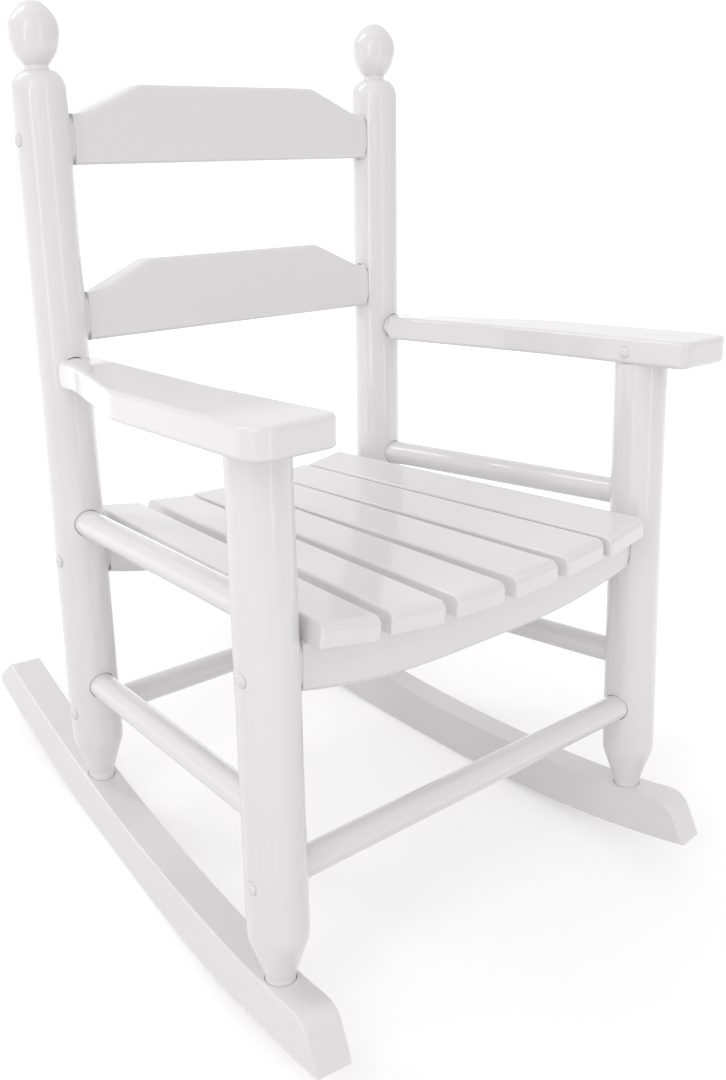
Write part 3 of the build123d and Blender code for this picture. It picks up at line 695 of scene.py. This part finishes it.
# ------------------------------------------------------------------ fasteners
@dataclass(frozen=True)
class WoodScrews:
    """Pan-head wood screws with a thread, a gimlet point and a cross recess.

    The head's profile goes up from its rim, in parts of its radius and height. Above the thread
    the shank is plain, as thick as a ridge that stands a part of the way to the crest.
    """

    node: str
    head_radius: float = 0.004
    head_height: float = 0.0024
    head_profile: tuple[tuple[float, float], ...] = (
        (1.0, 0.0),
        (1.0, 0.35),
        (0.97, 0.62),
        (0.88, 0.82),
        (0.74, 0.94),
        (0.55, 1.0),
    )
    crest_radius: float = 0.0021
    root_radius: float = 0.00145
    tip_radius: float = 0.00008
    pitch: float = 0.0018
    ridge_share: float = 0.32
    plain_length: float = 0.004
    plain_ridge: float = 0.6
    point_length: float = 0.0075
    point_curve: float = 0.8
    recess_arm: float = 0.0019
    recess_half_width: float = 0.00052
    recess_depth: float = 0.0015
    recess_taper: float = 0.55
    recess_tip: float = 0.0003
    cutter_reach: float = 1.3
    sides: int = 20
    steps_a_turn: int = 5

    SAME_POINT: ClassVar[float] = 1e-6
    DECIMALS: ClassVar[int] = 4
    LEAST_ROWS: ClassVar[int] = 8

    def places(self) -> list[tuple[Matrix, float]]:
        """Find each screw of the node.

        Returns:
            For each screw, its placing matrix, with +Z from point to head and the origin
            under the head, and its length below the head.
        """
        mesh = bmesh.new()
        mesh.from_mesh(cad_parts[self.node].data)
        bmesh.ops.remove_doubles(mesh, verts=mesh.verts, dist=self.SAME_POINT)
        taken: set[bmesh.types.BMVert] = set()
        found = []
        for start in mesh.verts:
            if start in taken:
                continue
            taken.add(start)
            island = [start]
            for vertex in island:
                joined = (edge.other_vert(vertex) for edge in vertex.link_edges)
                fresh = [other for other in joined if other not in taken]
                taken.update(fresh)
                island.extend(fresh)
            found.append(self.place_of(np.array([vertex.co for vertex in island])))
        mesh.free()
        found.sort(key=lambda item: [round(x, self.DECIMALS) for x in item[0].translation])
        return found

    def place_of(self, points: np.ndarray) -> tuple[Matrix, float]:
        """Placing matrix and length of one screw.

        Args:
            points: The screw's vertices.

        Returns:
            The matrix and the length below the head.
        """
        middle, directions = main_axes(points)
        axis = directions[:, 2]
        runs = (points - middle) @ axis
        offsets = np.linalg.norm(points - middle - np.outer(runs, axis), axis=1)
        if runs[offsets.argmax()] < (runs.min() + runs.max()) / 2:
            axis, runs = -axis, -runs
        turn = Vector(axis).to_track_quat("Z", "Y").to_matrix().to_4x4()
        under_head = Vector(middle) + Vector(axis) * float(runs.max() - self.head_height)
        length = float(runs.max() - runs.min() - self.head_height)
        return Matrix.Translation(under_head) @ turn, length

    def shank(self, length: float) -> bpy.types.Mesh:
        """Threaded shank with its point.

        Args:
            length: From the point to the head's underside.

        Returns:
            The mesh, standing below the origin.
        """
        rows = max(self.LEAST_ROWS, round(length / self.pitch * self.steps_a_turn))
        turns = [side / self.sides for side in range(self.sides)]
        rings = []
        for row in range(rows):
            height = -length + length * row / (rows - 1)
            radii = [self.shank_radius(height, turn, length) for turn in turns]
            rings.append([ring_point(radius, turn, height) for radius, turn in zip(radii, turns)])
        return skinned(rings, "screw_shank")

    def shank_radius(self, height: float, turn: float, length: float) -> float:
        """Radius of the shank at one point of its surface.

        Args:
            height: The point's height, below 0.
            turn: How far round it lies, from 0 to 1.
            length: The shank's length.

        Returns:
            The radius.
        """
        taper = min(1.0, (height + length) / self.point_length) ** self.point_curve
        phase = (height / self.pitch - turn) % 1.0
        ridge = max(0.0, 1.0 - abs(phase - 0.5) / self.ridge_share)
        if height > -self.plain_length:
            ridge = self.plain_ridge
        radius = self.root_radius + (self.crest_radius - self.root_radius) * ridge
        return max(radius * taper, self.tip_radius)

    def head(self) -> bpy.types.Mesh:
        """Pan head: flat underside, straight rim and low dome.

        Returns:
            The mesh, standing on the origin.
        """
        turns = [side / (2 * self.sides) for side in range(2 * self.sides)]
        rings = []
        for across, up in self.head_profile:
            radius, height = self.head_radius * across, self.head_height * up
            rings.append([ring_point(radius, turn, height) for turn in turns])
        return skinned(rings, "screw_head")

    def recess_cutter(self) -> bpy.types.Object:
        """Tapered cross that cuts the recess.

        Returns:
            The cutter, over the head's middle.
        """
        made = bmesh.new()
        arm, half = self.recess_arm, self.recess_half_width
        outline = []
        for quarter in range(4):
            turn = Matrix.Rotation(quarter * math.pi / 2, 3, "Z")
            for x, y in ((arm, -half), (arm, half), (half, half)):
                outline.append(turn @ Vector((x, y, 0)))
        top = self.head_height * self.cutter_reach
        floor = self.head_height - self.recess_depth
        taper = self.recess_taper
        upper = [made.verts.new((point.x, point.y, top)) for point in outline]
        lower = [made.verts.new((point.x * taper, point.y * taper, floor)) for point in outline]
        tip = made.verts.new((0, 0, floor - self.recess_tip))
        made.faces.new(upper)
        for index in range(len(outline)):
            after = (index + 1) % len(outline)
            made.faces.new((lower[index], lower[after], upper[after], upper[index]))
            made.faces.new((tip, lower[after], lower[index]))
        return put("recess_cutter", closed_mesh(made, "recess_cutter"))

    def driven_head(self) -> bpy.types.Mesh:
        """Head with the recess cut.

        Returns:
            The mesh.
        """
        head = put("screw_head", self.head())
        cutter = self.recess_cutter()
        cut = head.modifiers.new("recess", "BOOLEAN")
        cut.operation = "DIFFERENCE"
        cut.object = cutter
        bpy.context.view_layer.update()
        graph = bpy.context.evaluated_depsgraph_get()
        mesh = bpy.data.meshes.new_from_object(head.evaluated_get(graph))
        for used in (head, cutter):
            bpy.data.objects.remove(used)
        return mesh

    def build(self, finish: bpy.types.Material) -> None:
        """Make every screw of the node as one piece and put it in the node's place.

        Args:
            finish: Material of the screws.
        """
        head = self.driven_head()
        together = bmesh.new()
        shanks: dict[float, bpy.types.Mesh] = {}
        places = self.places()
        for place, length in places:
            size = round(length, self.DECIMALS)
            if size not in shanks:
                shanks[size] = self.shank(size)
            for part in (head, shanks[size]):
                first = len(together.verts)
                together.from_mesh(part)
                together.verts.ensure_lookup_table()
                bmesh.ops.transform(together, matrix=place, verts=together.verts[first:])
        piece = put(f"{self.node}_threaded", closed_mesh(together, self.node))
        refinish(piece, finish)
        piece.data.shade_smooth()
        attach(piece, BODY)
        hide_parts(self.node)
        LOG.info("%s: %d threaded screws", piece.name, len(places))


@dataclass(frozen=True)
class Fasteners:
    """All the screws and the caps over them."""

    screws: tuple[str, ...] = ("frame_screws", "seat_screws")
    caps: str = "screw_caps"

    def build(self) -> None:
        """Build the screws and finish the caps."""
        zinc = ZincPlate().material("zinc_plate")
        for node in self.screws:
            WoodScrews(node).build(zinc)
        refinish(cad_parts[self.caps], MouldedPlastic().material("cap_plastic"))
        LOG.info("%s: moulded plastic", self.caps)


# ------------------------------------------------------------------ studio and camera
@dataclass(frozen=True)
class Lamp:
    """A soft lamp turned to the chair, in degrees, metres and watts.

    It is square, or a tall strip where a height is given.
    """

    name: str
    azimuth: float
    elevation: float
    distance: float
    power: float
    width: float
    height: float = 0.0

    def hang(self, aim: Vector) -> None:
        """Put the lamp up.

        Args:
            aim: The point it is turned to.
        """
        away = toward(self.azimuth, self.elevation)
        data = bpy.data.lights.new(self.name, "AREA")
        data.energy = self.power
        data.size = self.width
        if self.height:
            data.shape = "RECTANGLE"
            data.size_y = self.height
        lamp = put(self.name, data)
        lamp.location = aim + away * self.distance
        lamp.rotation_mode = "QUATERNION"
        lamp.rotation_quaternion = away.to_track_quat("Z", "Y")


@dataclass(frozen=True)
class Studio:
    """White floor and surroundings, two broad soft lamps and three tall strips for the highlights.

    The floor's glow grows from its first strength to its second over the reach, measured from the
    floor's middle, so that the shadow stays under the chair and the rest shows white.
    """

    floor_side: float = 60.0
    floor_colour: Colour = (0.76, 0.755, 0.76)
    floor_glow: Range = (0.40, 1.0)
    glow_reach: Range = (0.25, 1.0)
    sky: Colour = (1.0, 0.993, 1.0)
    sky_light: float = 0.70
    lamps: tuple[Lamp, ...] = (
        Lamp("back_strip", -150.0, 40.0, distance=2.2, power=7.0, width=0.26, height=1.2),
        Lamp("side_lamp", -110.0, 12.0, distance=2.4, power=0.6, width=1.8),
        Lamp("front_lamp", -62.0, 34.0, distance=2.4, power=5.6, width=1.8),
        Lamp("left_strip", -74.0, 22.0, distance=2.0, power=3.4, width=0.18, height=2.0),
        Lamp("right_strip", -3.0, 22.0, distance=2.0, power=2.5, width=0.15, height=2.0),
    )

    def seen(self, wiring: Wiring) -> Socket:
        """Whether a ray comes from the camera, a reflection or a clear body.

        Args:
            wiring: The tree to work in.

        Returns:
            Socket that is 1 for such a ray and 0 for any other.
        """
        path = wiring.add("ShaderNodeLightPath").outputs
        either = wiring.calculate("MAXIMUM", path["Is Camera Ray"], path["Is Glossy Ray"])
        return wiring.calculate("MAXIMUM", either, path["Is Transmission Ray"])

    def floor(self) -> None:
        """Lay the floor."""
        made = bmesh.new()
        bmesh.ops.create_grid(made, x_segments=2, y_segments=2, size=self.floor_side / 2)
        floor = put("studio_floor", mesh_of(made, "studio_floor"))
        material = bpy.data.materials.new("studio_floor")
        wiring = bare_tree(material)
        matt = wiring.add("ShaderNodeBsdfDiffuse")
        wiring.feed(matt.inputs["Color"], self.floor_colour)
        away = wiring.vector("LENGTH", wiring.place())
        strength = wiring.ranged(away, self.glow_reach, self.floor_glow)
        shown = wiring.calculate("MULTIPLY", self.seen(wiring), strength)
        glow = wiring.add("ShaderNodeEmission")
        wiring.feed(glow.inputs["Strength"], shown)
        both = wiring.add("ShaderNodeAddShader")
        for socket, shader in zip(both.inputs, (matt, glow)):
            wiring.feed(socket, shader.outputs[0])
        wiring.output("ShaderNodeOutputMaterial", both.outputs[0])
        refinish(floor, material)

    def surroundings(self) -> None:
        """Light the chair evenly from all round, in front of plain white."""
        world = bpy.data.worlds.new("studio")
        wiring = bare_tree(world)
        seen = self.seen(wiring)
        light = self.sky_light
        sky = wiring.add("ShaderNodeBackground")
        wiring.feed(sky.inputs["Color"], wiring.mixed(seen, self.sky, WHITE))
        strength = wiring.calculate("MULTIPLY_ADD", seen, 1.0 - light, light)
        wiring.feed(sky.inputs["Strength"], strength)
        wiring.output("ShaderNodeOutputWorld", sky.outputs[0])
        bpy.context.scene.world = world

    def set_up(self) -> None:
        """Build the whole studio."""
        self.floor()
        self.surroundings()
        low, high = CAD_BOX
        for lamp in self.lamps:
            lamp.hang((low + high) / 2)
        bpy.context.scene.view_settings.view_transform = "Standard"
        LOG.info("studio: floor, surroundings and %d lamps", len(self.lamps))


@dataclass(frozen=True)
class View:
    """The camera's stand and lens, in metres and degrees, and in millimetres on its sensor."""

    place: Point = (-0.572754, -0.578553, 0.600294)
    azimuth: float = -42.8494
    elevation: float = 23.0312
    roll: float = 5.9233
    nearest: float = 0.01
    lens: float = 41.041
    sensor: float = 36.0
    shift: tuple[float, float] = (0.05836, -0.041227)

    def turned(self) -> Matrix:
        """The camera's axes.

        Returns:
            Matrix whose columns point right, up and back from the camera.
        """
        back = toward(self.azimuth, self.elevation)
        right = Vector((0.0, 0.0, 1.0)).cross(back).normalized()
        axes = Matrix((right, back.cross(right), back)).transposed()
        return axes @ Matrix.Rotation(math.radians(self.roll), 3, "Z")

    def set_up(self) -> None:
        """Put the camera up and make it the scene's own."""
        data = bpy.data.cameras.new("camera")
        data.sensor_fit = "VERTICAL"
        data.sensor_height = self.sensor
        data.lens = self.lens
        data.shift_x, data.shift_y = self.shift
        data.clip_start = self.nearest
        camera = put("camera", data)
        camera.matrix_world = Matrix.Translation(self.place) @ self.turned().to_4x4()
        bpy.context.scene.camera = camera
        LOG.info("camera at %.3f, %.3f, %.3f", *self.place)


def main() -> None:
    """Set up the view, dress every piece, build the fasteners and light the studio."""
    logging.basicConfig(level=logging.INFO, format="%(name)s: %(message)s")
    View().set_up()
    for side in ("left", "right"):
        SideFrame(side).dress()
    CrossPieces().dress()
    SeatDeck().dress()
    Fasteners().build()
    Studio().set_up()


if __name__ == "__main__":
    main()
